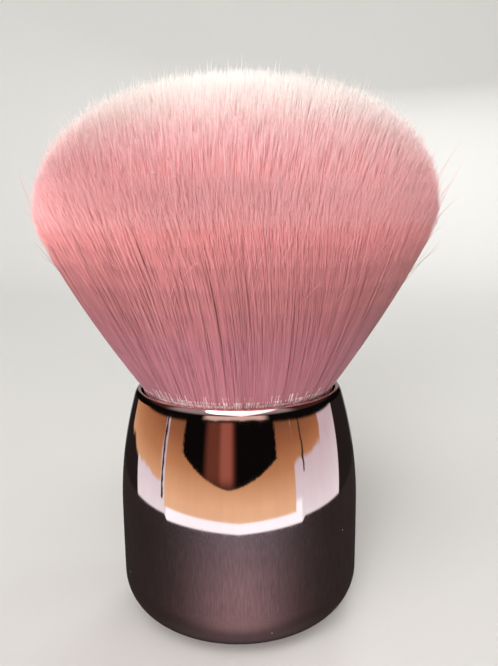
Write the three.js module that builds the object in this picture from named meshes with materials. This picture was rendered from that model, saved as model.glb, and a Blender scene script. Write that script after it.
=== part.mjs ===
// A kabuki-style nail dust brush: a short rose-gold barrel with a wide domed head of fine bristles.
// Millimetres, +Z up. The brush stands on z = 0 with its axis along Z, and nothing on it moves.
// Inside the plated shell lie, from the base up: a bonded steel weight, a ribbed core, and an aluminium
// ferrule that holds the bound and glued root of the bristles.

import * as THREE from "three";

// Facets round the axis of every turned piece.
const SIDES = 48;

// The wall ends at the rim, and a shoulder turns in from there to the lip. Angles are in degrees.
const handle = {
  bellyRadius: 16.5,
  bellyHeight: 15.5,
  rimRadius: 14.3,
  rimHeight: 30.9,
  shoulderRadius: 1.9,
  shoulderEnd: 38,
  lipRadius: 0.35,
  baseEdgeRadius: 6.0,
  lowerEase: 0.06,
  floor: 2.0,
  boreBottomRadius: 13.0,
  boreCorner: 0.6,
};

const weight = { radius: 11.6, thickness: 6.0, chamfer: 0.5 };
const weightAdhesive = { radius: 11.0, thickness: 0.25 };

const core = {
  radius: 12.7,
  height: 12.15,
  rimWall: 1.4,
  hubRadius: 3.0,
  ribs: 6,
  ribThickness: 1.4,
};

const ferrule = {
  radius: 12.5,
  wall: 0.4,
  floor: 0.5,
  height: 10.75,
  flangeRadius: 13.05,
  flangeThickness: 0.35,
  edgeRadius: 0.8,
};

const collar = { innerRadius: 12.6, outerRadius: 13.0, bottom: 22.5, top: 30.9 };
const rootGlue = { radius: 11.95, thickness: 2.35 };
const binding = { cordRadius: 0.3, turns: 4, innerRadius: 11.35, bottom: 24.8 };

const head = {
  rootRadius: 11.9,
  grooveRadius: 11.25,
  grooveMargin: 0.25,
  exitRadius: 13.2,
  exitHeight: 32.25,
  widestRadius: 26.15,
  widestHeight: 55.0,
  topHeight: 72.2,
  flareEase: 1.25,
  domePower: 2.34,
};

// Clearances between pieces that rest on, or sit in, one another.
const restGap = 0.05;
const glueGap = 0.1;

// Heights of the stack inside the shell, from the base up.
const weightAdhesiveBottom = handle.floor + restGap;
const weightBottom = weightAdhesiveBottom + weightAdhesive.thickness + restGap;
const coreBottom = weightBottom + weight.thickness + glueGap;
const ferruleBottom = coreBottom + core.height + restGap;
const ferruleTop = ferruleBottom + ferrule.height;
const rootGlueBottom = ferruleBottom + ferrule.floor + glueGap;
const rootBottom = rootGlueBottom + rootGlue.thickness + glueGap;

function point(radius, height) {
  return new THREE.Vector2(radius, height);
}

// Points on an arc round (radius, height), angles in degrees from the outward direction.
function arc(centreRadius, centreHeight, arcRadius, from, to, steps) {
  const points = [];
  for (let i = 0; i <= steps; i += 1) {
    const angle = THREE.MathUtils.degToRad(from + ((to - from) * i) / steps);
    points.push(
      point(centreRadius + arcRadius * Math.cos(angle), centreHeight + arcRadius * Math.sin(angle)),
    );
  }
  return points;
}

// A solid turned round Z from a profile that starts and ends on the axis, or closes on itself.
function turned(profile) {
  const geometry = new THREE.LatheGeometry(profile, SIDES);
  geometry.rotateX(Math.PI / 2);
  return geometry;
}

function piece(name, geometry, look) {
  const mesh = new THREE.Mesh(geometry, new THREE.MeshStandardMaterial(look));
  mesh.name = name;
  return mesh;
}

const looks = {
  roseGoldPlating: { color: 0xdba9a2, roughness: 0.06, metalness: 1.0 },
  roseGoldAluminium: { color: 0xd9a79f, roughness: 0.22, metalness: 1.0 },
  steel: { color: 0x8d9094, roughness: 0.4, metalness: 1.0 },
  whitePlastic: { color: 0xe6e2dc, roughness: 0.55, metalness: 0.0 },
  clearGlue: { color: 0xd8cfae, roughness: 0.3, metalness: 0.0 },
  bindingThread: { color: 0xefe9e4, roughness: 0.8, metalness: 0.0 },
  pinkBristle: { color: 0xe59aa2, roughness: 0.6, metalness: 0.0 },
};

// The wall's outer radius: nearly straight below the belly, drawn in towards the rim above it.
function wallRadius(height) {
  const { bellyRadius, bellyHeight, rimRadius, rimHeight, baseEdgeRadius, lowerEase } = handle;
  if (height > bellyHeight) {
    const rise = (height - bellyHeight) / (rimHeight - bellyHeight);
    return bellyRadius - (bellyRadius - rimRadius) * rise ** 2;
  }
  const drop = (bellyHeight - height) / (bellyHeight - baseEdgeRadius);
  return bellyRadius - lowerEase * drop ** 2;
}

// The shoulder and the lip, which carry on smoothly from the wall and over into the bore.
function mouthPoints() {
  const { bellyRadius, bellyHeight, rimRadius, rimHeight } = handle;
  const { shoulderRadius, shoulderEnd, lipRadius } = handle;
  const wallSlope = (2 * (bellyRadius - rimRadius)) / (rimHeight - bellyHeight);
  const shoulderStart = THREE.MathUtils.radToDeg(Math.atan(wallSlope));
  const [start] = arc(0, 0, shoulderRadius, shoulderStart, shoulderEnd, 1);
  const centre = point(rimRadius - start.x, rimHeight - start.y);
  const [lipCentre] = arc(centre.x, centre.y, shoulderRadius - lipRadius, shoulderEnd, 180, 1);
  return [
    ...arc(centre.x, centre.y, shoulderRadius, shoulderStart, shoulderEnd, 4),
    ...arc(lipCentre.x, lipCentre.y, lipRadius, shoulderEnd, 180, 6).slice(1),
  ];
}

// The plated cup: rounded base edge, barrel wall, shoulder, lip and a bore open at the top.
function handleShell() {
  const { baseEdgeRadius, rimHeight, floor, boreBottomRadius, boreCorner } = handle;
  const edgeSteps = 8;
  const wallSteps = 12;
  const edgeCentre = wallRadius(baseEdgeRadius) - baseEdgeRadius;
  const profile = [
    point(0, 0),
    ...arc(edgeCentre, baseEdgeRadius, baseEdgeRadius, -90, 0, edgeSteps),
  ];
  for (let i = 1; i < wallSteps; i += 1) {
    const height = baseEdgeRadius + ((rimHeight - baseEdgeRadius) * i) / wallSteps;
    profile.push(point(wallRadius(height), height));
  }
  profile.push(...mouthPoints());
  profile.push(
    ...arc(boreBottomRadius - boreCorner, floor + boreCorner, boreCorner, 0, -90, 3),
    point(0, floor),
  );
  return piece("handle_shell", turned(profile), looks.roseGoldPlating);
}

function weightAdhesiveDisc() {
  const { radius, thickness } = weightAdhesive;
  const profile = [
    point(0, weightAdhesiveBottom),
    point(radius, weightAdhesiveBottom),
    point(radius, weightAdhesiveBottom + thickness),
    point(0, weightAdhesiveBottom + thickness),
  ];
  return piece("weight_adhesive", turned(profile), looks.clearGlue);
}

function baseWeight() {
  const { radius, thickness, chamfer } = weight;
  const top = weightBottom + thickness;
  const profile = [
    point(0, weightBottom),
    point(radius - chamfer, weightBottom),
    point(radius, weightBottom + chamfer),
    point(radius, top - chamfer),
    point(radius - chamfer, top),
    point(0, top),
  ];
  return piece("base_weight", turned(profile), looks.steel);
}

// The opening between two ribs of the core, as a closed path.
function coreOpening(index) {
  const pitch = (2 * Math.PI) / core.ribs;
  const outer = core.radius - core.rimWall;
  const outerHalf = pitch / 2 - Math.asin(core.ribThickness / 2 / outer);
  const innerHalf = pitch / 2 - Math.asin(core.ribThickness / 2 / core.hubRadius);
  const middle = index * pitch;
  const opening = new THREE.Path();
  opening.absarc(0, 0, outer, middle - outerHalf, middle + outerHalf, false);
  opening.absarc(0, 0, core.hubRadius, middle + innerHalf, middle - innerHalf, true);
  opening.closePath();
  return opening;
}

// A moulded spacer that carries the ferrule: rim, ribs and hub, open from end to end.
function ribbedCore() {
  const quarter = Math.PI / 2;
  const outline = new THREE.Shape();
  for (let i = 0; i < 4; i += 1) {
    outline.absarc(0, 0, core.radius, i * quarter, (i + 1) * quarter, false);
  }
  for (let i = 0; i < core.ribs; i += 1) {
    outline.holes.push(coreOpening(i));
  }
  const geometry = new THREE.ExtrudeGeometry(outline, {
    depth: core.height,
    steps: 1,
    bevelEnabled: false,
    curveSegments: 10,
  });
  const mesh = piece("ribbed_core", geometry, looks.whitePlastic);
  mesh.position.z = coreBottom;
  return mesh;
}

// A drawn aluminium cup round the bristle root, with an edge turned out towards the lip.
function ferruleCup() {
  const { radius, wall, floor, flangeRadius, flangeThickness, edgeRadius } = ferrule;
  const inner = radius - wall;
  const profile = [
    point(0, ferruleBottom),
    ...arc(radius - edgeRadius, ferruleBottom + edgeRadius, edgeRadius, -90, 0, 3),
    point(radius, ferruleTop - flangeThickness),
    point(flangeRadius, ferruleTop - flangeThickness),
    point(flangeRadius, ferruleTop),
    point(inner + wall, ferruleTop),
    point(inner, ferruleTop - flangeThickness),
    point(inner, ferruleBottom + floor),
    point(0, ferruleBottom + floor),
  ];
  return piece("ferrule", turned(profile), looks.roseGoldAluminium);
}

// The bead of glue that fills the ring between ferrule and shell.
function ferruleAdhesive() {
  const { innerRadius, outerRadius, bottom, top } = collar;
  const profile = [
    point(innerRadius, bottom),
    point(outerRadius, bottom),
    point(outerRadius, top),
    point(innerRadius, top),
    point(innerRadius, bottom),
  ];
  return piece("ferrule_adhesive", turned(profile), looks.clearGlue);
}

// The cast plug that the cut ends of the bristles are set in.
function rootGluePlug() {
  const top = rootGlueBottom + rootGlue.thickness;
  const profile = [
    point(0, rootGlueBottom),
    point(rootGlue.radius, rootGlueBottom),
    point(rootGlue.radius, top),
    point(0, top),
  ];
  return piece("root_glue", turned(profile), looks.clearGlue);
}

// Turns of thread side by side, tied round the bundle before it was glued.
function rootBinding() {
  const { cordRadius, turns, innerRadius, bottom } = binding;
  const pitch = 2 * cordRadius;
  const profile = [point(innerRadius, bottom)];
  for (let i = 0; i < turns; i += 1) {
    const turn = arc(innerRadius + cordRadius, bottom + pitch * (i + 0.5), cordRadius, -90, 90, 3);
    profile.push(...(i === 0 ? turn : turn.slice(1)));
  }
  profile.push(point(innerRadius, bottom + pitch * turns), point(innerRadius, bottom));
  return piece("root_binding", turned(profile), looks.bindingThread);
}

// Bristle envelope above the lip: an eased flare up to the widest ring.
function flarePoints(steps) {
  const { exitRadius, exitHeight, widestRadius, widestHeight, flareEase } = head;
  const points = [];
  for (let i = 0; i < steps; i += 1) {
    const along = i / steps;
    const spread = 1 - (1 - along) ** flareEase;
    points.push(
      point(
        exitRadius + (widestRadius - exitRadius) * spread,
        exitHeight + (widestHeight - exitHeight) * along,
      ),
    );
  }
  return points;
}

// The trimmed crown: a superellipse from the widest ring to the top.
function domePoints(steps) {
  const { widestRadius, widestHeight, topHeight, domePower } = head;
  const points = [];
  for (let i = 0; i < steps; i += 1) {
    const angle = (Math.PI / 2) * (i / steps);
    points.push(
      point(
        widestRadius * Math.cos(angle) ** (2 / domePower),
        widestHeight + (topHeight - widestHeight) * Math.sin(angle) ** (2 / domePower),
      ),
    );
  }
  points.push(point(0, topHeight));
  return points;
}

// The whole bundle of bristles as one closed form, pinched where the binding goes round it.
function bristleHead() {
  const { rootRadius, grooveRadius, grooveMargin } = head;
  const grooveTop = binding.bottom + 2 * binding.cordRadius * binding.turns + grooveMargin;
  const easing = rootRadius - grooveRadius;
  const profile = [
    point(0, rootBottom),
    point(grooveRadius, rootBottom),
    point(grooveRadius, grooveTop),
    point(rootRadius, grooveTop + easing),
    point(rootRadius, ferruleTop - ferrule.flangeThickness),
    point(ferrule.radius - ferrule.wall, ferruleTop + restGap),
    ...flarePoints(10),
    ...domePoints(11),
  ];
  return piece("bristle_head", turned(profile), looks.pinkBristle);
}

const brush = new THREE.Group();
brush.name = "nail_dust_brush";
brush.add(
  handleShell(),
  weightAdhesiveDisc(),
  baseWeight(),
  ribbedCore(),
  ferruleCup(),
  ferruleAdhesive(),
  rootGluePlug(),
  rootBinding(),
  bristleHead(),
);

export default brush;
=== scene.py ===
"""Looks for a kabuki-style nail dust brush: plated barrel, and a domed head of separate fine bristles.

Blender works in metres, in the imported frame: +Z up, and the brush stands on z = 0. Sizes that a CAD box
gives are read from it. The other driving sizes are in millimetres, turned into metres by MM.
"""

import math

import bpy
import numpy as np
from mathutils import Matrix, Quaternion, Vector


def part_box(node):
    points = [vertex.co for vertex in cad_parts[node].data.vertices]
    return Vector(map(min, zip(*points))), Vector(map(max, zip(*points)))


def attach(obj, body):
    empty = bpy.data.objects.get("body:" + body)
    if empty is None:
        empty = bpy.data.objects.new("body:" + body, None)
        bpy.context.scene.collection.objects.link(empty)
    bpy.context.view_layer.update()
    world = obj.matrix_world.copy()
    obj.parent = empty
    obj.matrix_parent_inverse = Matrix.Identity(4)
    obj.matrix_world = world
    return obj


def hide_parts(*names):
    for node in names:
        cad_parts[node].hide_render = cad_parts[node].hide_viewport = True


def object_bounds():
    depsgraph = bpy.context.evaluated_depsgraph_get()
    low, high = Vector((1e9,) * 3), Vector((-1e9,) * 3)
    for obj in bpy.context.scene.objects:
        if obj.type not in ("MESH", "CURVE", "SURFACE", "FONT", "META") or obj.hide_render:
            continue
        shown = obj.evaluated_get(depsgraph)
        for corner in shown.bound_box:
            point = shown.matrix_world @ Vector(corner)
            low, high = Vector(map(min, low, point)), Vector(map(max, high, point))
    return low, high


MM = 0.001
SEED = 20260

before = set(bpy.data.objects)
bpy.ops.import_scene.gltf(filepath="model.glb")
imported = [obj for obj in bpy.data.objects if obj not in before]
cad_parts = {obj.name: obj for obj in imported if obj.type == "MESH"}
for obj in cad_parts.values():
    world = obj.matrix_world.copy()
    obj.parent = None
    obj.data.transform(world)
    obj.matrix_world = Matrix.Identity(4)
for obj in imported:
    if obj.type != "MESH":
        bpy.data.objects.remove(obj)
CAD_LOW, CAD_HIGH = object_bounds()
SHELL_LOW, SHELL_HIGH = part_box("handle_shell")
HEAD_LOW, HEAD_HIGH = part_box("bristle_head")

# Handle
HANDLE_TOP = SHELL_HIGH[2]
BELLY_RADIUS = (SHELL_HIGH[0] - SHELL_LOW[0]) / 2
BELLY_HEIGHT = 15.5 * MM
RIM_RADIUS = 14.3 * MM
RIM_HEIGHT = 30.9 * MM
SHOULDER_RADIUS = 1.9 * MM
SHOULDER_END = 38.0
LIP_RADIUS = 0.35 * MM
BASE_EDGE_RADIUS = 6.0 * MM
LOWER_EASE = 0.06 * MM
SHELL_FLOOR = 2.0 * MM
BORE_BOTTOM_RADIUS = 13.0 * MM
BORE_CORNER = 0.6 * MM
SHELL_SIDES = 256
SPECK_SPACING = 3.2 * MM
SPECK_SIZE = 0.2 * MM

# Bristle head
HEAD_TOP = HEAD_HIGH[2]
HEAD_RADIUS = (HEAD_HIGH[0] - HEAD_LOW[0]) / 2
ROOT_RADIUS = 11.9 * MM
EXIT_RADIUS = 13.35 * MM
EXIT_HEIGHT = 32.25 * MM
WIDEST_HEIGHT = 55.0 * MM
FLARE_EASE = 1.25
DOME_POWER = 2.34
FLARE_STRAIGHT_FROM = 0.86
BEND_LOW = 30.7 * MM
BEND_HIGH = 31.8 * MM

# Bristles. As they rise they gather a little towards the front and the back, and twist round the axis,
# and the crown leans to the right.
BRISTLE_RADIUS = 0.036 * MM
THICKNESS = (0.75, 1.15)
OUTER_BRISTLES = 22000
OUTER_SECTORS = 12
OUTER_DEPTH = 0.085
CROWN_BRISTLES = 42000
CROWN_SECTORS = 8
STRAY_SHARE = 0.04
FLYAWAYS = 150
# Painted root glints: limits on a random draw that set how many segments up each bristle's painted glint
# reaches
PAINTED_GLINT_LIMITS = (0.08, 0.40, 0.75)
LEAN = 0.9 * MM
LEAN_FROM = 52.0 * MM
TWIST = math.radians(-5.0)
SQUEEZE = math.radians(9.0)
CORE_SHARE = 0.915
CORE_UNDER_TIPS = 2.3 * MM

# Locks, into which the outer bristles are drawn together
LOCK_COLUMNS = 300
LOCK_LAYERS = 4
LOCK_PULL = 0.25
LOCK_SWAY = 0.35 * MM

# Colour runs up the head in bands, and each band comes in a few tones, which vary at random and are darker
# and redder inside the bundle as painted shade.
# Every bristle is a run of these plain materials, so an exported mesh keeps the gradient without a texture.
COLOUR_BANDS = 28
BAND_UNEVENNESS = 0.014
BRISTLE_STOPS = (
    # The first two stops are the painted root glints.
    (0.00, (1.000, 0.880, 0.885)),
    (0.03, (1.000, 0.880, 0.885)),
    # Darker on the lower flare: painted shade under the overhanging crown. Near-white on the crown: partly
    # the fibres' paler tips, partly painted light from above.
    (0.04, (0.755, 0.485, 0.528)),
    (0.12, (0.745, 0.468, 0.516)),
    (0.20, (0.738, 0.463, 0.507)),
    (0.30, (0.748, 0.465, 0.481)),
    (0.40, (0.803, 0.501, 0.508)),
    (0.51, (0.928, 0.590, 0.596)),
    (0.60, (0.975, 0.662, 0.667)),
    (0.71, (0.945, 0.695, 0.699)),
    (0.77, (0.945, 0.738, 0.745)),
    (0.83, (0.965, 0.822, 0.820)),
    (0.88, (0.982, 0.915, 0.900)),
    (0.92, (0.990, 0.950, 0.930)),
    (1.00, (0.990, 0.970, 0.955)),
)
# Tones, darkest first: besides random variation, the darker ones are painted shade between the bristles.
TONES = ((0.97, 0.84, 0.845), (0.985, 0.93, 0.935), (1.0, 1.0, 1.0), (1.01, 1.10, 1.10))
TONE_LIMITS = (0.12, 0.42, 0.86)
TONES_MERGE = (0.5, 0.9)
MOST_REFLECTED = 0.97
TIP_WHITE = 0.3 * MM
TIP_FADE = 2.4 * MM
TIP_PALING = 0.30
SILKINESS = 0.75
SILKY_BELOW = WIDEST_HEIGHT - 8.0 * MM
SILKY_UP_TO = WIDEST_HEIGHT + 12.0 * MM

# What the plating mirrors: linear colours, and angles in degrees
DARK = (0.020, 0.018, 0.018)
BLACK = (0.004, 0.004, 0.004)
FAR_ABOVE = 40
GROUND_EDGE = -20.9
SCREEN_WHITE = (
    (0.0, (1.00, 1.25, 1.32, 1.0)),
    (0.3, (0.80, 0.93, 1.00, 1.0)),
    (0.5, (0.64, 0.68, 0.74, 1.0)),
)
SCREEN_TAN = (
    (0.00, (1.00, 0.84, 0.52, 1.0)),
    (0.15, (0.96, 0.76, 0.44, 1.0)),
    (0.42, (0.58, 0.35, 0.16, 1.0)),
    (0.62, (0.36, 0.18, 0.08, 1.0)),
    (0.80, (0.22, 0.11, 0.05, 1.0)),
)

# Camera: lengths as shares of the brush's height, angles in degrees
AIM_RIGHT = 0.0218
AIM_UP = 0.537
CAMERA_DISTANCE = 1.276
CAMERA_PITCH = 8.9
CAMERA_ROLL = 0.6


def linear(colour):
    """An sRGB colour as linear RGBA."""
    return (*(c / 12.92 if c <= 0.04045 else ((c + 0.055) / 1.055) ** 2.4 for c in colour), 1.0)


def smooth_step(low, high, value):
    share = np.clip((value - low) / (high - low), 0.0, 1.0)
    return share * share * (3.0 - 2.0 * share)


# ---------------------------------------------------------------- materials


def new_material(name):
    material = bpy.data.materials.new(name)
    material.use_nodes = True
    return material, material.node_tree, material.node_tree.nodes["Principled BSDF"]


def add_node(tree, kind, **inputs):
    node = tree.nodes.new(kind)
    for key, value in inputs.items():
        node.inputs[key].default_value = value
    return node


def noise(tree, scale, detail=3.0, stretch=(1.0, 1.0, 1.0)):
    """Noise in the object's own coordinates, drawn out along an axis by a small stretch value."""
    place = tree.nodes.new("ShaderNodeTexCoord")
    mapping = add_node(tree, "ShaderNodeMapping", Scale=stretch)
    texture = add_node(tree, "ShaderNodeTexNoise", Scale=scale, Detail=detail)
    tree.links.new(place.outputs["Object"], mapping.inputs["Vector"])
    tree.links.new(mapping.outputs["Vector"], texture.inputs["Vector"])
    return texture.outputs["Fac"]


def ramp(tree, factor, stops):
    node = tree.nodes.new("ShaderNodeValToRGB")
    elements = node.color_ramp.elements
    while len(elements) < len(stops):
        elements.new(0.5)
    for element, (position, colour) in zip(elements, stops):
        element.position = position
        element.color = colour
    tree.links.new(factor, node.inputs["Fac"])
    return node.outputs["Color"]


def grey(value):
    return (value, value, value, 1.0)


def two_tone(tree, factor, first, second, low=0.3, high=0.7):
    """The first colour where the factor is low, the second where it is high."""
    return ramp(tree, factor, ((low, first), (high, second)))


def add_bump(tree, shader, height, strength, distance):
    bump = add_node(tree, "ShaderNodeBump", Strength=strength, Distance=distance)
    tree.links.new(height, bump.inputs["Height"])
    tree.links.new(bump.outputs["Normal"], shader.inputs["Normal"])


def mix_in(tree, under, over, mask, blend="MIX"):
    """Lays one colour over another where the mask is 1. Colours are sockets or linear RGBA."""
    node = tree.nodes.new("ShaderNodeMix")
    node.data_type = "RGBA"
    node.blend_type = blend
    for value, socket in ((mask, node.inputs["Factor"]), (under, node.inputs[6]), (over, node.inputs[7])):
        if isinstance(value, (tuple, float)):
            socket.default_value = value
        else:
            tree.links.new(value, socket)
    return node.outputs[2]


def dust_specks(tree, spacing, size):
    """1 inside small round specks, about one to each cube of the spacing, and 0 elsewhere."""
    place = tree.nodes.new("ShaderNodeTexCoord")
    cells = add_node(tree, "ShaderNodeTexVoronoi", Scale=1.0 / spacing)
    tree.links.new(place.outputs["Object"], cells.inputs["Vector"])
    edge = size / 2 / spacing
    return ramp(tree, cells.outputs["Distance"], ((edge * 0.6, grey(1.0)), (edge, grey(0.0))))


def rose_gold_plating():
    """Mirror plating with faint polishing lines drawn up and down the barrel, and a few specks of dust."""
    material, tree, shader = new_material("rose_gold_plating")
    cloud = noise(tree, 160.0, 4.0)
    tint = two_tone(tree, cloud, linear((0.905, 0.750, 0.745)), linear((0.935, 0.785, 0.780)))
    lines = noise(tree, 900.0, 2.0, (1.0, 1.0, 0.06))
    drawn = two_tone(tree, lines, grey(0.95), grey(1.0))
    tint = mix_in(tree, tint, drawn, 1.0, "MULTIPLY")
    specks = dust_specks(tree, SPECK_SPACING, SPECK_SIZE)
    tree.links.new(mix_in(tree, tint, linear((0.68, 0.58, 0.52)), specks), shader.inputs["Base Color"])
    tree.links.new(mix_in(tree, grey(1.0), grey(0.0), specks), shader.inputs["Metallic"])
    rough = two_tone(tree, lines, grey(0.03), grey(0.05), 0.35, 0.75)
    tree.links.new(mix_in(tree, rough, grey(0.7), specks), shader.inputs["Roughness"])
    return material


def rose_gold_aluminium():
    """Anodised metal, drawn lengthwise."""
    material, tree, shader = new_material("ferrule_aluminium")
    shader.inputs["Metallic"].default_value = 1.0
    drawn = noise(tree, 1400.0, 2.0, (1.0, 1.0, 0.04))
    tint = two_tone(tree, drawn, linear((0.86, 0.66, 0.63)), linear((0.93, 0.76, 0.73)))
    tree.links.new(tint, shader.inputs["Base Color"])
    rough = two_tone(tree, drawn, grey(0.18), grey(0.34), 0.2, 0.8)
    tree.links.new(rough, shader.inputs["Roughness"])
    return material


def turned_steel():
    """Bare steel with the rings that a lathe leaves."""
    material, tree, shader = new_material("turned_steel")
    shader.inputs["Metallic"].default_value = 1.0
    grain = noise(tree, 700.0, 3.0, (1.0, 1.0, 8.0))
    tint = two_tone(tree, grain, linear((0.50, 0.51, 0.53)), linear((0.66, 0.67, 0.69)))
    tree.links.new(tint, shader.inputs["Base Color"])
    rough = two_tone(tree, grain, grey(0.3), grey(0.5), 0.2, 0.8)
    tree.links.new(rough, shader.inputs["Roughness"])
    return material


def moulded_plastic():
    """Off-white plastic with a fine moulded grain."""
    material, tree, shader = new_material("core_plastic")
    grain = noise(tree, 1200.0, 2.0)
    tint = two_tone(tree, grain, linear((0.87, 0.85, 0.82)), linear((0.93, 0.91, 0.89)))
    tree.links.new(tint, shader.inputs["Base Color"])
    shader.inputs["Roughness"].default_value = 0.5
    add_bump(tree, shader, grain, 0.2, 0.03 * MM)
    return material


def cured_glue():
    """Cloudy amber glue with a glossy skin."""
    material, tree, shader = new_material("cured_glue")
    cloud = noise(tree, 300.0, 4.0)
    tint = two_tone(tree, cloud, linear((0.78, 0.71, 0.52)), linear((0.90, 0.86, 0.74)))
    tree.links.new(tint, shader.inputs["Base Color"])
    shader.inputs["Roughness"].default_value = 0.25
    shader.inputs["Coat Weight"].default_value = 0.4
    return material


def twisted_thread():
    """Pale thread, with its twist as colour and bump."""
    material, tree, shader = new_material("binding_thread")
    twist = noise(tree, 2200.0, 2.0, (1.0, 1.0, 2.5))
    tint = two_tone(tree, twist, linear((0.84, 0.80, 0.77)), linear((0.97, 0.95, 0.93)))
    tree.links.new(tint, shader.inputs["Base Color"])
    shader.inputs["Roughness"].default_value = 0.8
    shader.inputs["Sheen Weight"].default_value = 0.3
    add_bump(tree, shader, twist, 0.5, 0.05 * MM)
    return material


def bristle_colour(share):
    """The sRGB colour at a share of the head's visible height, from the stops."""
    places = [place for place, _ in BRISTLE_STOPS]
    return [np.interp(share, places, [colour[i] for _, colour in BRISTLE_STOPS]) for i in range(3)]


def toned(colour, tone, share):
    """A stop's colour in one tone, as linear RGBA. The tones draw together towards the pale tips."""
    merging = smooth_step(*TONES_MERGE, share)
    mixed = [t + (1.0 - t) * merging for t in tone]
    return (*(min(c * t, MOST_REFLECTED) for c, t in zip(linear(colour), mixed)), 1.0)


def bristle_materials():
    """One plain filament material for each tone of each band, band by band, with a soft pale sheen."""
    made = []
    for band in range(COLOUR_BANDS):
        share = (band + 0.5) / COLOUR_BANDS
        for number, tone in enumerate(TONES):
            material, _, shader = new_material(f"bristle_{band:02d}_{number}")
            shader.inputs["Base Color"].default_value = toned(bristle_colour(share), tone, share)
            shader.inputs["Roughness"].default_value = 0.45
            shader.inputs["Specular IOR Level"].default_value = 0.3
            shader.inputs["Sheen Weight"].default_value = 0.12
            shader.inputs["Sheen Roughness"].default_value = 0.4
            made.append(material)
    return made


def bundle_painted_shade():
    """What shows between the bristles: more of them, packed close, in the same colours up the head, but in
    the darkest tone and with darker, redder streaks, as painted shade in the gaps.
    """
    material, tree, shader = new_material("bundle_painted_shade")
    place = tree.nodes.new("ShaderNodeTexCoord")
    split = tree.nodes.new("ShaderNodeSeparateXYZ")
    tree.links.new(place.outputs["Object"], split.inputs["Vector"])
    rise = add_node(tree, "ShaderNodeMapRange")
    rise.inputs["From Min"].default_value = HANDLE_TOP
    rise.inputs["From Max"].default_value = HEAD_TOP - CORE_UNDER_TIPS
    tree.links.new(split.outputs["Z"], rise.inputs["Value"])
    stops = [(share, toned(colour, TONES[0], share)) for share, colour in BRISTLE_STOPS]
    along = ramp(tree, rise.outputs["Result"], stops)
    # Painted shade: darker, redder streaks along the bundle.
    streaks = noise(tree, 1500.0, 3.0, (1.0, 1.0, 0.04))
    shade = two_tone(tree, streaks, (0.92, 0.74, 0.76, 1.0), grey(1.0))
    tree.links.new(mix_in(tree, along, shade, 1.0, "MULTIPLY"), shader.inputs["Base Color"])
    shader.inputs["Roughness"].default_value = 0.8
    return material


# ---------------------------------------------------------------- turned shapes


def arc(centre_radius, centre_height, radius, start, end, steps):
    """Points on an arc, angles in degrees from the outward direction."""
    angles = np.radians(np.linspace(start, end, steps + 1))
    return [
        (centre_radius + radius * math.cos(a), centre_height + radius * math.sin(a)) for a in angles
    ]


def smooth_object(name, points, faces, material):
    mesh = bpy.data.meshes.new(name)
    mesh.from_pydata(points, [], faces)
    mesh.polygons.foreach_set("use_smooth", [True] * len(mesh.polygons))
    mesh.materials.append(material)
    piece = bpy.data.objects.new(name, mesh)
    bpy.context.scene.collection.objects.link(piece)
    return piece


def turned_mesh(name, profile, sides, material):
    """A smooth solid turned round Z. The profile starts and ends on the axis."""
    ring = profile[1:-1]
    angles = np.linspace(0.0, 2.0 * math.pi, sides, endpoint=False)
    points = [(0.0, 0.0, profile[0][1])]
    for radius, height in ring:
        points += [(radius * math.cos(a), radius * math.sin(a), height) for a in angles]
    points.append((0.0, 0.0, profile[-1][1]))
    last = len(points) - 1
    faces = []
    for i in range(sides):
        j = (i + 1) % sides
        faces.append((0, 1 + j, 1 + i))
        for row in range(len(ring) - 1):
            low, high = 1 + row * sides, 1 + (row + 1) * sides
            faces.append((low + i, low + j, high + j, high + i))
        top = 1 + (len(ring) - 1) * sides
        faces.append((last, top + i, top + j))
    return smooth_object(name, points, faces, material)


def wall_radius(height):
    if height > BELLY_HEIGHT:
        rise = (height - BELLY_HEIGHT) / (RIM_HEIGHT - BELLY_HEIGHT)
        return BELLY_RADIUS - (BELLY_RADIUS - RIM_RADIUS) * rise**2
    drop = (BELLY_HEIGHT - height) / (BELLY_HEIGHT - BASE_EDGE_RADIUS)
    return BELLY_RADIUS - LOWER_EASE * drop**2


def mouth_profile():
    """The shoulder and the lip, which carry on smoothly from the wall and over into the bore."""
    slope = 2 * (BELLY_RADIUS - RIM_RADIUS) / (RIM_HEIGHT - BELLY_HEIGHT)
    start = math.degrees(math.atan(slope))
    across, rise = arc(0.0, 0.0, SHOULDER_RADIUS, start, SHOULDER_END, 1)[0]
    centre = (RIM_RADIUS - across, RIM_HEIGHT - rise)
    lip_centre = arc(*centre, SHOULDER_RADIUS - LIP_RADIUS, SHOULDER_END, 180, 1)[0]
    shoulder = arc(*centre, SHOULDER_RADIUS, start, SHOULDER_END, 14)
    return shoulder + arc(*lip_centre, LIP_RADIUS, SHOULDER_END, 180, 18)[1:]


def plated_shell():
    """The barrel again, with enough facets for a mirror finish to look round."""
    edge_centre = wall_radius(BASE_EDGE_RADIUS) - BASE_EDGE_RADIUS
    profile = [(0.0, 0.0), (edge_centre * 0.5, 0.0), (edge_centre * 0.97, 0.0)]
    profile += arc(edge_centre, BASE_EDGE_RADIUS, BASE_EDGE_RADIUS, -90, 0, 24)
    for height in np.linspace(BASE_EDGE_RADIUS, RIM_HEIGHT, 44)[1:-1]:
        profile.append((wall_radius(height), height))
    profile += mouth_profile()
    profile += arc(BORE_BOTTOM_RADIUS - BORE_CORNER, SHELL_FLOOR + BORE_CORNER, BORE_CORNER, 0, -90, 6)
    profile.append((0.0, SHELL_FLOOR))
    piece = turned_mesh("plated_shell", profile, SHELL_SIDES, rose_gold_plating())
    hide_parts("handle_shell")
    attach(piece, "root")


# ---------------------------------------------------------------- bristles


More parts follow.
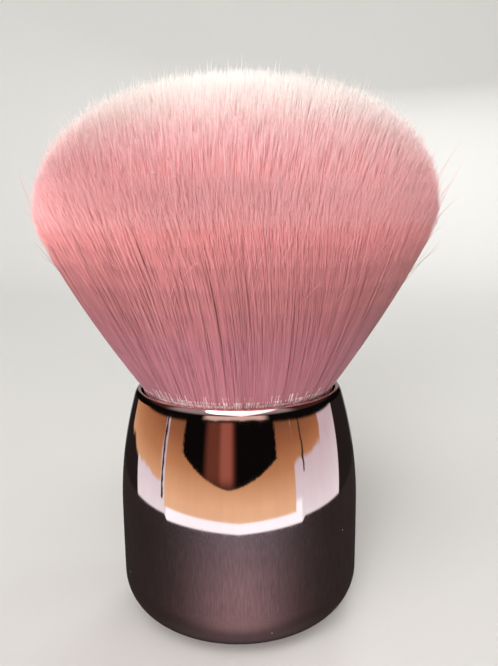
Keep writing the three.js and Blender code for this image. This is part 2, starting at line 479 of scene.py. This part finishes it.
def flare(height):
    """The envelope's radius at a height: eased at first, then straight on past the widest ring."""
    rise = (np.asarray(height) - EXIT_HEIGHT) / (WIDEST_HEIGHT - EXIT_HEIGHT)
    spread = HEAD_RADIUS - EXIT_RADIUS
    eased = 1.0 - (1.0 - np.clip(rise, 0.0, FLARE_STRAIGHT_FROM)) ** FLARE_EASE
    end_slope = FLARE_EASE * (1.0 - FLARE_STRAIGHT_FROM) ** (FLARE_EASE - 1.0)
    beyond = np.maximum(rise - FLARE_STRAIGHT_FROM, 0.0) * end_slope
    before = np.minimum(rise, 0.0) * FLARE_EASE
    return EXIT_RADIUS + spread * (eased + beyond + before)


def envelope(height):
    """The flare, drawn in to the bundle's bound root inside the ferrule."""
    bend = smooth_step(BEND_LOW, BEND_HIGH, np.asarray(height))
    return ROOT_RADIUS + (flare(height) - ROOT_RADIUS) * bend


def dome_radius(height):
    """The trimmed crown's radius at a height above the widest ring."""
    rise = np.clip((height - WIDEST_HEIGHT) / (HEAD_TOP - WIDEST_HEIGHT), 0.0, 1.0)
    return HEAD_RADIUS * (1.0 - rise**DOME_POWER) ** (1.0 / DOME_POWER)


def tip_heights(share):
    """Where a bristle at a share of the bundle's radius meets the crown."""
    heights = np.linspace(WIDEST_HEIGHT - 4.0 * MM, HEAD_TOP, 600)
    crossing = dome_radius(heights) / envelope(heights)
    return np.interp(share, crossing[::-1], heights[::-1])


def silky_normals(centres, along, ring):
    """Shading normals that follow the whole bundle's flank more than each filament's own sides, since the
    real filaments are translucent. High on the crown they are the filament's own."""
    outward = centres * (1.0, 1.0, 0.0)
    outward /= np.maximum(np.linalg.norm(outward, axis=2, keepdims=True), 1e-6)
    flank = outward - along * (outward * along).sum(2, keepdims=True)
    fading = smooth_step(SILKY_BELOW, SILKY_UP_TO, centres[..., 2:])
    common = SILKINESS * (1.0 - fading)
    normals = ring * (1.0 - common[:, :, None]) + (flank * common)[:, :, None]
    return normals / np.linalg.norm(normals, axis=3, keepdims=True)


def filament_directions(centres):
    """The way each filament runs at its centre points, and the ways from there to its three corners."""
    along = np.gradient(centres, axis=1)
    along /= np.linalg.norm(along, axis=2, keepdims=True)
    across = np.cross(along, (0.0, 0.0, 1.0))
    across[..., 0] += 1e-4
    across /= np.linalg.norm(across, axis=2, keepdims=True)
    third = np.cross(along, across)
    turn = 2.0 * math.pi * np.arange(3) / 3.0
    ring = np.cos(turn)[:, None] * across[:, :, None] + np.sin(turn)[:, None] * third[:, :, None]
    return along, ring


def filament_faces(count, rings):
    """The corners of all the side faces and then all the end caps, and how many each face has."""
    first = 3 * (np.arange(count)[:, None] * rings + np.arange(rings - 1))
    quads = np.stack(
        [
            np.stack([first + s, first + (s + 1) % 3, first + 3 + (s + 1) % 3, first + 3 + s], -1)
            for s in range(3)
        ],
        2,
    ).reshape(-1, 4)
    start = 3 * np.arange(count) * rings
    end = start + 3 * (rings - 1)
    caps = np.concatenate(
        [np.stack([start + 2, start + 1, start], -1), np.stack([end, end + 1, end + 2], -1)]
    )
    corners = np.concatenate([quads.reshape(-1), caps.reshape(-1)])
    totals = np.concatenate([np.full(len(quads), 4), np.full(len(caps), 3)])
    return corners, totals


def strand_mesh(name, centres, radii, bands, tones, materials):
    """Three-sided closed filaments through rows of centre points, with a material for each segment."""
    along, ring = filament_directions(centres)
    points = centres[:, :, None] + ring * radii[:, :, None, None]
    corners, totals = filament_faces(*centres.shape[:2])
    starts = np.concatenate([[0], np.cumsum(totals)[:-1]])
    index = bands * len(TONES) + tones[:, None]
    wanted = np.concatenate([np.repeat(index.reshape(-1), 3), index[:, 0], index[:, -1]])
    used, slots = np.unique(wanted, return_inverse=True)

    mesh = bpy.data.meshes.new(name)
    mesh.vertices.add(points.size // 3)
    mesh.vertices.foreach_set("co", points.reshape(-1))
    mesh.loops.add(len(corners))
    mesh.loops.foreach_set("vertex_index", corners)
    mesh.polygons.add(len(totals))
    mesh.polygons.foreach_set("loop_start", starts)
    for number in used:
        mesh.materials.append(materials[number])
    mesh.polygons.foreach_set("material_index", slots)
    mesh.polygons.foreach_set("use_smooth", [True] * len(totals))
    mesh.update(calc_edges=True)
    mesh.normals_split_custom_set_from_vertices(silky_normals(centres, along, ring).reshape(-1, 3))
    piece = bpy.data.objects.new(name, mesh)
    bpy.context.scene.collection.objects.link(piece)
    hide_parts("bristle_head")
    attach(piece, "root")


def colour_bands(rng, centres):
    """Each segment's colour band: by its height, a little unevenly, and paler close to the tip."""
    middle = (centres[:, 1:, 2] + centres[:, :-1, 2]) / 2
    unevenness = rng.normal(0.0, BAND_UNEVENNESS, (len(centres), 1))
    share = (middle - HANDLE_TOP) / (HEAD_TOP - HANDLE_TOP) + unevenness
    pale = 1.0 - smooth_step(TIP_WHITE, TIP_FADE, centres[:, -1:, 2] - middle)
    share = np.clip(share, 0.0, 1.0)
    share += (1.0 - share) * pale * TIP_PALING
    return np.minimum((share * COLOUR_BANDS).astype(int), COLOUR_BANDS - 1)


def pick_tones(rng, depth):
    """A tone for each bristle, partly at random: those further in, at a depth nearer 1, are more often the
    dark ones, painted shade inside the bundle.
    """
    level = 0.72 - 0.62 * depth + rng.normal(0.0, 0.20, len(depth))
    return np.digitize(level, TONE_LIMITS)


def lay(azimuth, rise):
    """How far a bristle has swung round the axis by a share of its length."""
    squeeze = SQUEEZE * np.sin(2.0 * (azimuth + math.pi / 2))
    return TWIST * rise**2 - squeeze * (1.0 - (1.0 - rise) ** 2)


def weave(rng, rise, amplitude):
    """A slow random wave along each bristle, still at the root and growing with the rise."""
    count = len(rise)
    turns = rng.uniform(0.3, 1.3, (count, 1))
    phase = rng.uniform(0.0, 1.0, (count, 1))
    size = rng.normal(0.0, amplitude, (count, 1))
    return size * np.sin(2.0 * math.pi * (turns * rise + phase)) * np.sqrt(rise)


def uneven(rng, count):
    """How far each tip ends from the trimmed surface: close to it, with the odd bristle left long."""
    length = rng.normal(-0.35, 0.30, count)
    long = rng.uniform(0.0, 1.0, count) < STRAY_SHARE
    return (length + long * rng.uniform(0.3, 1.5, count)) * MM


def place_bristles(share, azimuth, heights, aside, outward):
    """Centre points on the flared paths, moved round the axis and away from it by small lengths.
    The crown leans a little to the right."""
    radius = share * envelope(heights) + outward
    radius = np.maximum(radius, 0.05 * MM)
    turned = azimuth + aside / np.maximum(radius, 2.0 * MM)
    lean = LEAN * (np.maximum(heights - LEAN_FROM, 0.0) / (HEAD_TOP - LEAN_FROM)) ** 1.5
    return np.stack([radius * np.cos(turned) + lean, radius * np.sin(turned), heights], -1)


def in_sectors(name, azimuth, sectors, centres, radii, bands, tones, materials):
    """Makes one piece for each sector round the axis."""
    sector = ((azimuth / (2 * math.pi)) % 1.0 * sectors).astype(int)
    for i in range(sectors):
        mine = sector == i
        strand_mesh(f"{name}_{i + 1}", centres[mine], radii[mine], bands[mine], tones[mine], materials)


def outer_heights(tip):
    """Heights up each long bristle, closest together at the mouth, and the same as shares of its length."""
    low = HANDLE_TOP - 1.3 * MM
    early = np.array([0.0, 0.9, 1.5, 2.0, 2.8, 4.0]) * MM + low
    late = 1.0 - (1.0 - np.linspace(0.0, 1.0, 9)[1:]) ** 1.4
    climb = early[-1] + (tip[:, None] - early[-1]) * late
    heights = np.concatenate([np.repeat(early[None], len(tip), 0), climb], 1)
    return heights, (heights - low) / (tip[:, None] - low)


def painted_root_glints(rng, bands):
    """Painted glints: pale bands on the first segments of some bristles, a painted highlight where light
    catches them inside the lip.
    """
    reach = 4 - np.digitize(rng.uniform(0.0, 1.0, len(bands)), PAINTED_GLINT_LIMITS)
    glint = np.arange(bands.shape[1]) < reach[:, None]
    return np.where(glint, 0, np.maximum(bands, 2))


def outer_bristles(materials):
    """The long bristles that show from root to tip, drawn together here and there into fine locks."""
    rng = np.random.default_rng(SEED)
    count = OUTER_BRISTLES
    locks = LOCK_COLUMNS * LOCK_LAYERS
    spread = 2 * math.pi / LOCK_COLUMNS
    lock_azimuth = (np.arange(locks) % LOCK_COLUMNS + rng.uniform(0, 1, locks)) * spread
    lock_depth = (np.arange(locks) // LOCK_COLUMNS + rng.uniform(0, 1, locks)) / LOCK_LAYERS
    lock_pull = rng.uniform(0.0, LOCK_PULL, locks)
    lock_sway = rng.normal(0.0, LOCK_SWAY, locks)

    lock = rng.integers(0, locks, count)
    offset = rng.normal(0.0, 0.6, count) * spread
    depth = np.clip(lock_depth[lock] + rng.normal(0.0, 0.14, count), 0.0, 1.0)
    share = 1.0 - OUTER_DEPTH * depth
    azimuth = lock_azimuth[lock] + offset
    heights, rise = outer_heights(tip_heights(share) + uneven(rng, count))

    pull = lock_pull[lock][:, None] * np.sin(rise * math.pi) ** 0.8
    turned = azimuth[:, None] - offset[:, None] * pull + lay(azimuth[:, None], rise)
    sway = (lock_sway[lock][:, None] + rng.normal(0.0, 0.45 * MM, (count, 1))) * rise**1.5
    aside = sway + weave(rng, rise, 0.08 * MM)
    outward = rng.normal(-0.22 * MM, 0.26 * MM, (count, 1)) * rise**3 + weave(rng, rise, 0.10 * MM)
    centres = place_bristles(share[:, None], turned, heights, aside, outward)

    radii = BRISTLE_RADIUS * rng.uniform(*THICKNESS, (count, 1)) * (1.0 - 0.8 * rise**8)
    bands = colour_bands(rng, centres)
    bands = painted_root_glints(rng, bands)
    tones = pick_tones(rng, depth)
    in_sectors("outer_bristles", azimuth, OUTER_SECTORS, centres, radii, bands, tones, materials)


def crown_bristles(materials):
    """The upper ends of the inner bristles, which make the trimmed dome."""
    rng = np.random.default_rng(SEED + 1)
    count = CROWN_BRISTLES
    share = np.sqrt(rng.uniform(0.0, 1.0, count)) * 0.995
    azimuth = rng.uniform(0.0, 2 * math.pi, count)
    tip = tip_heights(share) + uneven(rng, count)
    length = rng.uniform(5.0, 10.0, count) * MM
    rise = np.repeat(np.array([[0.0, 0.45, 0.75, 0.9, 1.0]]), count, 0)
    heights = tip[:, None] - length[:, None] * (1.0 - rise)
    aside = rng.normal(0.0, 0.22 * MM, (count, 1)) * rise
    outward = rng.normal(0.0, 0.15 * MM, (count, 1)) * rise
    centres = place_bristles(share[:, None], azimuth[:, None], heights, aside, outward)
    radii = BRISTLE_RADIUS * rng.uniform(*THICKNESS, (count, 1)) * (1.0 - 0.8 * rise**4)
    bands = colour_bands(rng, centres)
    tones = pick_tones(rng, rng.uniform(0.0, 0.7, count))
    in_sectors("crown_bristles", azimuth, CROWN_SECTORS, centres, radii, bands, tones, materials)


def flyaway_bristles(materials):
    """The few bristles that have worked loose and stand out past the others, in the palest tone."""
    rng = np.random.default_rng(SEED + 2)
    count = FLYAWAYS
    azimuth = rng.uniform(0.0, 2 * math.pi, count)
    start = rng.uniform(0.35, 1.0, count)
    base = EXIT_HEIGHT + (WIDEST_HEIGHT - EXIT_HEIGHT) * start
    length = rng.uniform(3.0, 9.0, count) * MM
    rise = np.repeat(np.linspace(0.0, 1.0, 9)[None], count, 0)
    heights = base[:, None] + length[:, None] * rise
    aside = rng.normal(0.0, 1.6 * MM, (count, 1)) * rise**2
    outward = rng.uniform(-0.5, 2.4, (count, 1)) * MM * rise**1.7
    centres = place_bristles(np.full((count, 1), 0.985), azimuth[:, None], heights, aside, outward)
    radii = BRISTLE_RADIUS * 0.7 * (1.0 - 0.7 * rise**4)
    bands = colour_bands(rng, centres)
    strand_mesh("flyaway_bristles", centres, radii, bands, np.full(count, len(TONES) - 1), materials)


def bundle_core():
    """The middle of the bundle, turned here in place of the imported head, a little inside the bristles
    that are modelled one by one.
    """
    profile = [(0.0, HEAD_LOW[2])]
    low = WIDEST_HEIGHT - 1.0 * MM
    for height in np.linspace(HEAD_LOW[2], low, 40):
        profile.append((float(envelope(height)) * CORE_SHARE, float(height)))
    wide = profile[-1][0]
    deep = HEAD_TOP - CORE_UNDER_TIPS - low
    power = 2 / DOME_POWER
    for angle in np.radians(np.linspace(0, 90, 26))[1:-1]:
        profile.append((wide * math.cos(angle) ** power, low + deep * math.sin(angle) ** power))
    profile.append((0.0, HEAD_TOP - CORE_UNDER_TIPS))
    piece = turned_mesh("bundle_core", profile, 96, bundle_painted_shade())
    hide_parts("bristle_head")
    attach(piece, "root")


# ---------------------------------------------------------------- stage, light and camera


def cove():
    """A pale floor that sweeps up all round into a plain wall. The plating doesn't mirror it."""
    material, _, shader = new_material("cove")
    shader.inputs["Base Color"].default_value = linear((0.84, 0.835, 0.825))
    shader.inputs["Roughness"].default_value = 0.9
    floor_radius, sweep, wall_top, sides = 0.5, 0.7, 1.6, 128
    profile = [(floor_radius * i / 6, 0.0) for i in range(1, 7)]
    profile += arc(floor_radius, sweep, sweep, -90, 0, 30)[1:]
    profile.append((floor_radius + sweep, wall_top))
    angles = np.linspace(0.0, 2.0 * math.pi, sides, endpoint=False)
    points = [(0.0, 0.0, 0.0)]
    for radius, height in profile:
        points += [(radius * math.cos(a), radius * math.sin(a), height) for a in angles]
    faces = [(0, 1 + i, 1 + (i + 1) % sides) for i in range(sides)]
    for row in range(len(profile) - 1):
        low, high = 1 + row * sides, 1 + (row + 1) * sides
        faces += [
            (low + i, high + i, high + (i + 1) % sides, low + (i + 1) % sides) for i in range(sides)
        ]
    surface = smooth_object("cove", points, faces, material)
    surface.visible_glossy = False


def area_light(name, place, size, power, colour=(1.0, 1.0, 1.0), mirrored=False):
    """A soft box turned to the brush. Most of them light the scene without showing in the plating."""
    data = bpy.data.lights.new(name, "AREA")
    data.shape = "DISK"
    data.size = size
    data.energy = power
    data.color = colour
    lamp = bpy.data.objects.new(name, data)
    lamp.location = place
    lamp.rotation_euler = (Vector((0.0, 0.0, 0.045)) - lamp.location).to_track_quat("-Z", "Y").to_euler()
    lamp.visible_camera = False
    lamp.visible_glossy = mirrored
    bpy.context.scene.collection.objects.link(lamp)


def studio_lights():
    """Sizes in metres, power in watts."""
    area_light("key", (-0.18, -0.60, 0.75), 0.6, 3.3, (1.0, 0.985, 0.965), mirrored=True)
    area_light("front_fill", (-0.20, -0.85, 0.25), 0.40, 7.8)
    area_light("left_fill", (-0.66, -0.66, 0.45), 0.4, 0.3)
    area_light("right_fill", (0.80, 0.28, 0.50), 0.5, 1.4)
    area_light("back_fill", (0.25, 0.80, 0.60), 0.5, 2.4)


class Directions:
    """Colours the world by direction: degrees round from the front, positive
    to the right, and degrees up."""

    def __init__(self, tree):
        self.tree = tree
        self.place = tree.nodes.new("ShaderNodeTexCoord").outputs["Generated"]
        split = tree.nodes.new("ShaderNodeSeparateXYZ")
        tree.links.new(self.place, split.inputs["Vector"])
        forward = self.calculate("MULTIPLY", split.outputs["Y"], -1.0)
        round_angle = self.calculate("ARCTAN2", split.outputs["X"], forward)
        self.round = self.calculate("DEGREES", round_angle)
        self.up = self.calculate("DEGREES", self.calculate("ARCSINE", split.outputs["Z"]))

    def calculate(self, operation, first, second=None):
        node = self.tree.nodes.new("ShaderNodeMath")
        node.operation = operation
        for value, socket in zip((first, second), node.inputs):
            if isinstance(value, (int, float)):
                socket.default_value = value
            elif value is not None:
                self.tree.links.new(value, socket)
        return node.outputs["Value"]

    def rises(self, angle, start, soft):
        """0 below the start angle, 1 above it, over a soft edge."""
        node = self.tree.nodes.new("ShaderNodeMapRange")
        node.interpolation_type = "SMOOTHSTEP"
        self.tree.links.new(angle, node.inputs["Value"])
        node.inputs["From Min"].default_value = start - soft / 2
        node.inputs["From Max"].default_value = start + soft / 2
        return node.outputs["Result"]

    def falls(self, angle, start, soft):
        return self.calculate("SUBTRACT", 1.0, self.rises(angle, start, soft))

    def square(self, value):
        return self.calculate("MULTIPLY", value, value)

    def speckle(self, scale, detail):
        texture = add_node(self.tree, "ShaderNodeTexNoise", Scale=scale, Detail=detail)
        self.tree.links.new(self.place, texture.inputs["Vector"])
        return texture.outputs["Fac"]

    def ragged(self, angle, amount, scale):
        """The angle, pushed to and fro by noise, so that an edge drawn with it comes out uneven."""
        push = self.calculate("SUBTRACT", self.speckle(scale, 6.0), 0.5)
        return self.calculate("ADD", angle, self.calculate("MULTIPLY", push, amount))

    def between(self, angle, low, high, soft):
        inside = self.rises(angle, low, soft)
        beyond = self.rises(angle, high, soft)
        return self.calculate("SUBTRACT", inside, beyond)

    def panel(self, around, level, left, right, low, high, soft=1.0):
        """A soft-edged rectangle of directions."""
        across = self.between(around, left, right, soft)
        upright = self.between(level, low, high, soft)
        return self.calculate("MULTIPLY", across, upright)

    def cover(self, under, over, mask):
        """Lays one colour over another where the mask is 1."""
        colours = [(*colour, 1.0) if isinstance(colour, tuple) else colour for colour in (under, over)]
        return mix_in(self.tree, *colours, mask)


def mirrored_screen(look, level, around):
    """A tan screen edged in white, with slanted ends, ragged patches beside its middle, and dark seams."""
    height = look.calculate("DIVIDE", look.calculate("ADD", look.up, 20.0), 40.0)
    white = ramp(look.tree, height, SCREEN_WHITE)
    tan = ramp(look.tree, height, SCREEN_TAN)
    uneven_level = look.ragged(level, 4.5, 5.0)
    slant = look.calculate("MULTIPLY", look.calculate("ADD", look.up, 14.0), 0.35)
    left_end = look.rises(look.calculate("ADD", look.round, slant), -112.0, 1.0)
    right_end = look.falls(look.calculate("SUBTRACT", look.round, slant), 110.0, 1.0)
    colour = look.cover(DARK, white, look.calculate("MULTIPLY", left_end, right_end))
    middle = look.panel(around, level, -71, 60, -40, -15.5, 3.0)
    colour = look.cover(colour, (1.3, 1.7, 1.8), middle)
    colour = look.cover(colour, tan, look.panel(around, uneven_level, -135, -78, -12.5, FAR_ABOVE, 1.5))
    colour = look.cover(colour, tan, look.panel(look.round, level, -73, 54, -18.8, FAR_ABOVE))
    colour = look.cover(colour, tan, look.panel(around, uneven_level, 54, 88, -4.0, FAR_ABOVE, 2.0))
    seam = look.ragged(look.round, 3.0, 20.0)
    colour = look.cover(colour, DARK, look.panel(seam, level, -77.0, -75.0, -17.0, FAR_ABOVE))
    colour = look.cover(colour, (0.05, 0.04, 0.03), look.panel(seam, level, 63.2, 64.8, -8.0, FAR_ABOVE))
    return colour


def mirrored_camera(look, colour):
    """The camera's dark outline, which narrows downwards, with a brown strap and its stitched edge."""
    fuzzy = look.ragged(look.round, 6.0, 40.0)
    across = look.calculate("DIVIDE", look.calculate("ADD", fuzzy, 9.0), 46.0)
    wide = look.calculate("POWER", look.calculate("ABSOLUTE", across), 1.5)
    below = look.calculate("MAXIMUM", look.calculate("SUBTRACT", 1.0, look.up), 0.0)
    outline = look.calculate("ADD", wide, look.calculate("DIVIDE", below, 8.7))
    strap = look.panel(look.round, look.up, -31, -4, -6.5, FAR_ABOVE, 8.0)
    camera_face = look.cover(BLACK, (0.15, 0.055, 0.033), strap)
    stitch = look.panel(look.round, look.up, -17, -6, -5.5, FAR_ABOVE, 6.0)
    camera_face = look.cover(camera_face, (0.36, 0.14, 0.095), stitch)
    colour = look.cover(colour, camera_face, look.falls(outline, 1.0, 0.08))
    return colour


def mirrored_above(look, around, colour):
    """Dark above the screen, but for a thin warm edge, and a bright box in front for the lip."""
    bow = look.calculate("COSINE", look.calculate("RADIANS", look.round))
    top = look.calculate("ADD", look.calculate("MULTIPLY", bow, 9.0), 5.0)
    over_top = look.calculate("SUBTRACT", look.up, top)
    colour = look.cover(colour, BLACK, look.rises(over_top, 0.0, 1.0))
    edge_across = look.between(around, -34.0, 28.0, 10.0)
    edge_up = look.between(look.ragged(over_top, 1.6, 5.0), 0.9, 6.0, 1.0)
    colour = look.cover(colour, (0.80, 0.70, 0.60), look.calculate("MULTIPLY", edge_across, edge_up))
    colour = look.cover(colour, (0.05, 0.028, 0.022), look.panel(around, look.up, -125, 125, 22, 60, 10))
    dim_box = look.panel(look.round, look.up, -84, 64, 26, 75, 20.0)
    colour = look.cover(colour, (0.34, 0.36, 0.36), dim_box)
    away = look.calculate("ABSOLUTE", look.calculate("SUBTRACT", look.round, 4.0))
    bowed = look.calculate("SUBTRACT", look.up, look.calculate("MULTIPLY", away, 0.6))
    box_up = look.calculate("MULTIPLY", look.rises(bowed, 20.0, 8.0), look.falls(look.up, 78.0, 8.0))
    box = look.calculate("MULTIPLY", look.falls(away, 52.0, 24.0), box_up)
    colour = look.cover(colour, (1.9, 1.9, 1.9), box)
    return colour


def mirrored_behind(look, aside, colour):
    """A dim box behind."""
    back_across = look.rises(aside, 158.0, 10.0)
    behind = look.calculate("MULTIPLY", back_across, look.between(look.up, -19.5, 60.0, 3.0))
    colour = look.cover(colour, (0.30, 0.29, 0.29), behind)
    return colour


def mirrored_ground(look, level, colour):
    """The ground: lit in front of the brush, dark to the sides, and of a coarse weave. The screen's
    middle comes down a little lower than its ends."""
    spread = look.square(look.calculate("DIVIDE", look.round, 46.0))
    bell = look.calculate("EXPONENT", look.calculate("MULTIPLY", spread, -1.0))
    lit = look.cover((0.28, 0.23, 0.245), (0.20, 0.205, 0.235), look.rises(look.up, -29.0, 8.0))
    ground = look.cover((0.034, 0.032, 0.031), lit, bell)
    ground = look.cover(ground, (0.11, 0.095, 0.10), look.falls(look.up, -66.0, 44.0))
    woven = two_tone(look.tree, look.speckle(60.0, 3.0), grey(0.78), grey(1.17))
    ground = mix_in(look.tree, ground, woven, 1.0, "MULTIPLY")
    lowered = look.calculate("MULTIPLY", look.between(look.round, -72.0, 62.0, 4.0), 1.6)
    edge = look.calculate("ADD", level, lowered)
    return look.cover(colour, ground, look.falls(edge, GROUND_EDGE, 0.8))


def surroundings():
    """What the plating mirrors: dark ground, and above it a tan screen edged in white, with the camera's
    own dark outline in the middle of it."""
    world = bpy.data.worlds.new("surroundings")
    bpy.context.scene.world = world
    world.use_nodes = True
    tree = world.node_tree
    look = Directions(tree)
    aside = look.calculate("ABSOLUTE", look.round)
    # The screen stands a little further off at its ends
    level = look.calculate("SUBTRACT", look.up, look.calculate("MULTIPLY", aside, 0.03))
    around = look.ragged(look.round, 9.0, 7.0)
    colour = mirrored_screen(look, level, around)
    colour = mirrored_camera(look, colour)
    colour = mirrored_above(look, around, colour)
    colour = mirrored_behind(look, aside, colour)
    colour = mirrored_ground(look, level, colour)
    tree.links.new(colour, tree.nodes["Background"].inputs["Color"])


def camera():
    """Looks slightly down on the brush from close by, level to within a fraction of a degree."""
    height = CAD_HIGH[2] - CAD_LOW[2]
    aim = Vector((AIM_RIGHT * height, 0.0, AIM_UP * height))
    distance = CAMERA_DISTANCE * height
    pitch = math.radians(CAMERA_PITCH)
    roll = math.radians(CAMERA_ROLL)
    data = bpy.data.cameras.new("camera")
    data.lens = 36.0
    data.sensor_width = 36.0
    data.clip_start = 0.005
    data.clip_end = 10.0
    cam = bpy.data.objects.new("camera", data)
    cam.location = aim + distance * Vector((0.0, -math.cos(pitch), math.sin(pitch)))
    turn = (aim - cam.location).to_track_quat("-Z", "Y") @ Quaternion((0.0, 0.0, 1.0), -roll)
    cam.rotation_euler = turn.to_euler()
    bpy.context.scene.collection.objects.link(cam)
    bpy.context.scene.camera = cam


def dress(node, material):
    """A carried-over CAD node gets its finish."""
    piece = bpy.data.objects[node]
    piece.data.materials.clear()
    piece.data.materials.append(material)


def view_settings():
    bpy.context.scene.view_settings.view_transform = "Standard"


view_settings()
camera()
cove()
studio_lights()
surroundings()
plated_shell()
bundle_core()
filaments = bristle_materials()
outer_bristles(filaments)
crown_bristles(filaments)
flyaway_bristles(filaments)

glue = cured_glue()
for cad_node, finish in (
    ("ferrule", rose_gold_aluminium()),
    ("base_weight", turned_steel()),
    ("ribbed_core", moulded_plastic()),
    ("root_binding", twisted_thread()),
    ("weight_adhesive", glue),
    ("ferrule_adhesive", glue),
    ("root_glue", glue),
):
    dress(cad_node, finish)
